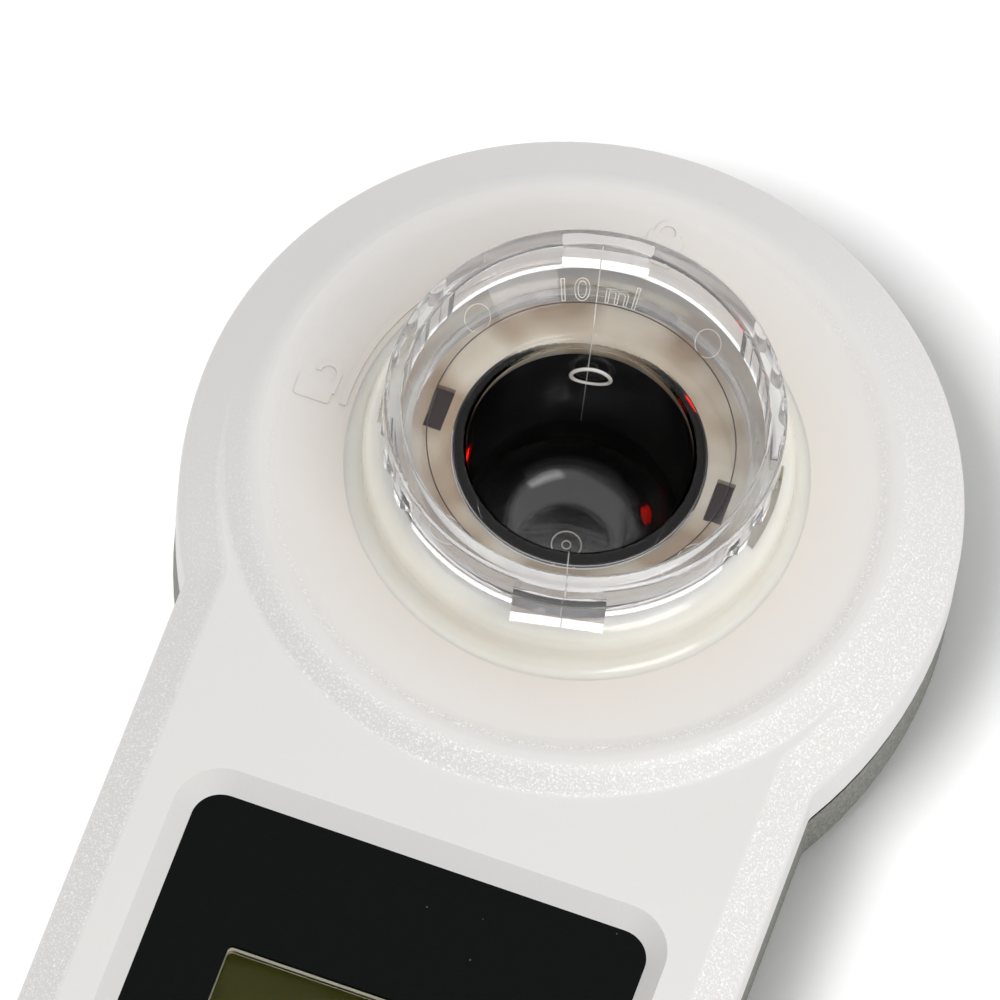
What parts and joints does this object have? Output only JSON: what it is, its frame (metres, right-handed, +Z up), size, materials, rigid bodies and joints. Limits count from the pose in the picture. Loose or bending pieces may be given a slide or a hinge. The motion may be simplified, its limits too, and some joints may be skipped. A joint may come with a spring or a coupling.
{
  "type": "handheld photometer",
  "caption": "Handheld water-test photometer with a round head, a twist-lock clear sample cell, an inset display panel and a flat back to rest on.",
  "frame": {"origin": "bottom centre of the whole instrument, on the plane its rubber feet rest on", "axes": "+Z up out of the display side, +Y from the handle end towards the round head, +X to the right seen from above"},
  "size_m": [0.088, 0.167, 0.0403],
  "materials": {
    "shell_white": "moulded ABS, fine spark texture on the bevels, smooth satin on the flats",
    "shell_grey": "moulded ABS with a coarse grain",
    "collar_ivory": "polished moulded plastic",
    "cell_clear": "polished clear PMMA",
    "rubber_black": "matt moulded rubber",
    "chamber_black": "light-absorbing matt black",
    "panel_black": "satin printed polyester",
    "frame_cream": "moulded",
    "lens_clear": "clear hard-coated",
    "lcd_olive": "liquid-crystal glass, unlit",
    "light_guide": "frosted light guide",
    "key_rubber": "silk-matt silicone",
    "board_green": "solder-masked glass fibre",
    "chip_black": "moulded epoxy",
    "steel": "plated",
    "battery_sleeve": "printed sleeve, no markings",
    "lamp_red": "clear red epoxy lens",
    "filter_glass": "polished coloured glass",
    "ribbon": "flat cable film"
  },
  "bodies": {
    "case": {"top_shell": "shell_white", "bottom_shell": "shell_grey", "case_gasket": "rubber_black", "case_screws": "steel", "rubber_feet": "rubber_black", "front_panel": "panel_black", "display_frame": "frame_cream", "display_lens": "lens_clear", "lcd_module": "lcd_olive", "backlight": "light_guide", "keypad_mat": "key_rubber", "key_switches": "steel", "cuvette_collar": "collar_ivory", "cuvette_seal": "rubber_black", "light_chamber": "chamber_black", "led_source": "lamp_red", "led_board": "board_green", "led_ribbon": "ribbon", "optical_filter": "filter_glass", "photodiode": "chip_black", "detector_board": "board_green", "detector_ribbon": "ribbon", "main_pcb": "board_green", "microcontroller": "chip_black", "radio_module": "steel", "ribbon_sockets": "chip_black", "battery_left": "battery_sleeve", "battery_middle": "battery_sleeve", "battery_right": "battery_sleeve", "battery_contacts": "steel"},
    "cuvette": {"cuvette": "cell_clear"},
    "key_up": {"key_up": "key_rubber"},
    "key_ok": {"key_ok": "key_rubber"},
    "key_down": {"key_down": "key_rubber"},
    "key_power": {"key_power": "key_rubber"},
    "battery_cover": {"battery_cover": "shell_grey", "battery_cover_seal": "rubber_black", "battery_cover_screws": "steel"}
  },
  "joints": [
    {"name": "cuvette_turn", "type": "hinge", "parent": "case", "child": "cuvette", "pos_m": [0, 0.0395, 0.02], "axis": [0, 0, 1], "range_deg": [-12, 78]},
    {"name": "key_up_press", "type": "slide", "parent": "case", "child": "key_up", "axis": [0, 0, -1], "range_m": [0, 0.0006], "stiffness_N_per_m": 600},
    {"name": "key_ok_press", "type": "slide", "parent": "case", "child": "key_ok", "axis": [0, 0, -1], "range_m": [0, 0.0006], "stiffness_N_per_m": 600},
    {"name": "key_down_press", "type": "slide", "parent": "case", "child": "key_down", "axis": [0, 0, -1], "range_m": [0, 0.0006], "stiffness_N_per_m": 600},
    {"name": "key_power_press", "type": "slide", "parent": "case", "child": "key_power", "axis": [0, 0, -1], "range_m": [0, 0.0006], "stiffness_N_per_m": 600},
    {"name": "battery_cover_lift", "type": "slide", "parent": "case", "child": "battery_cover", "axis": [0, 0, -1], "range_m": [0, 0.012]}
  ]
}
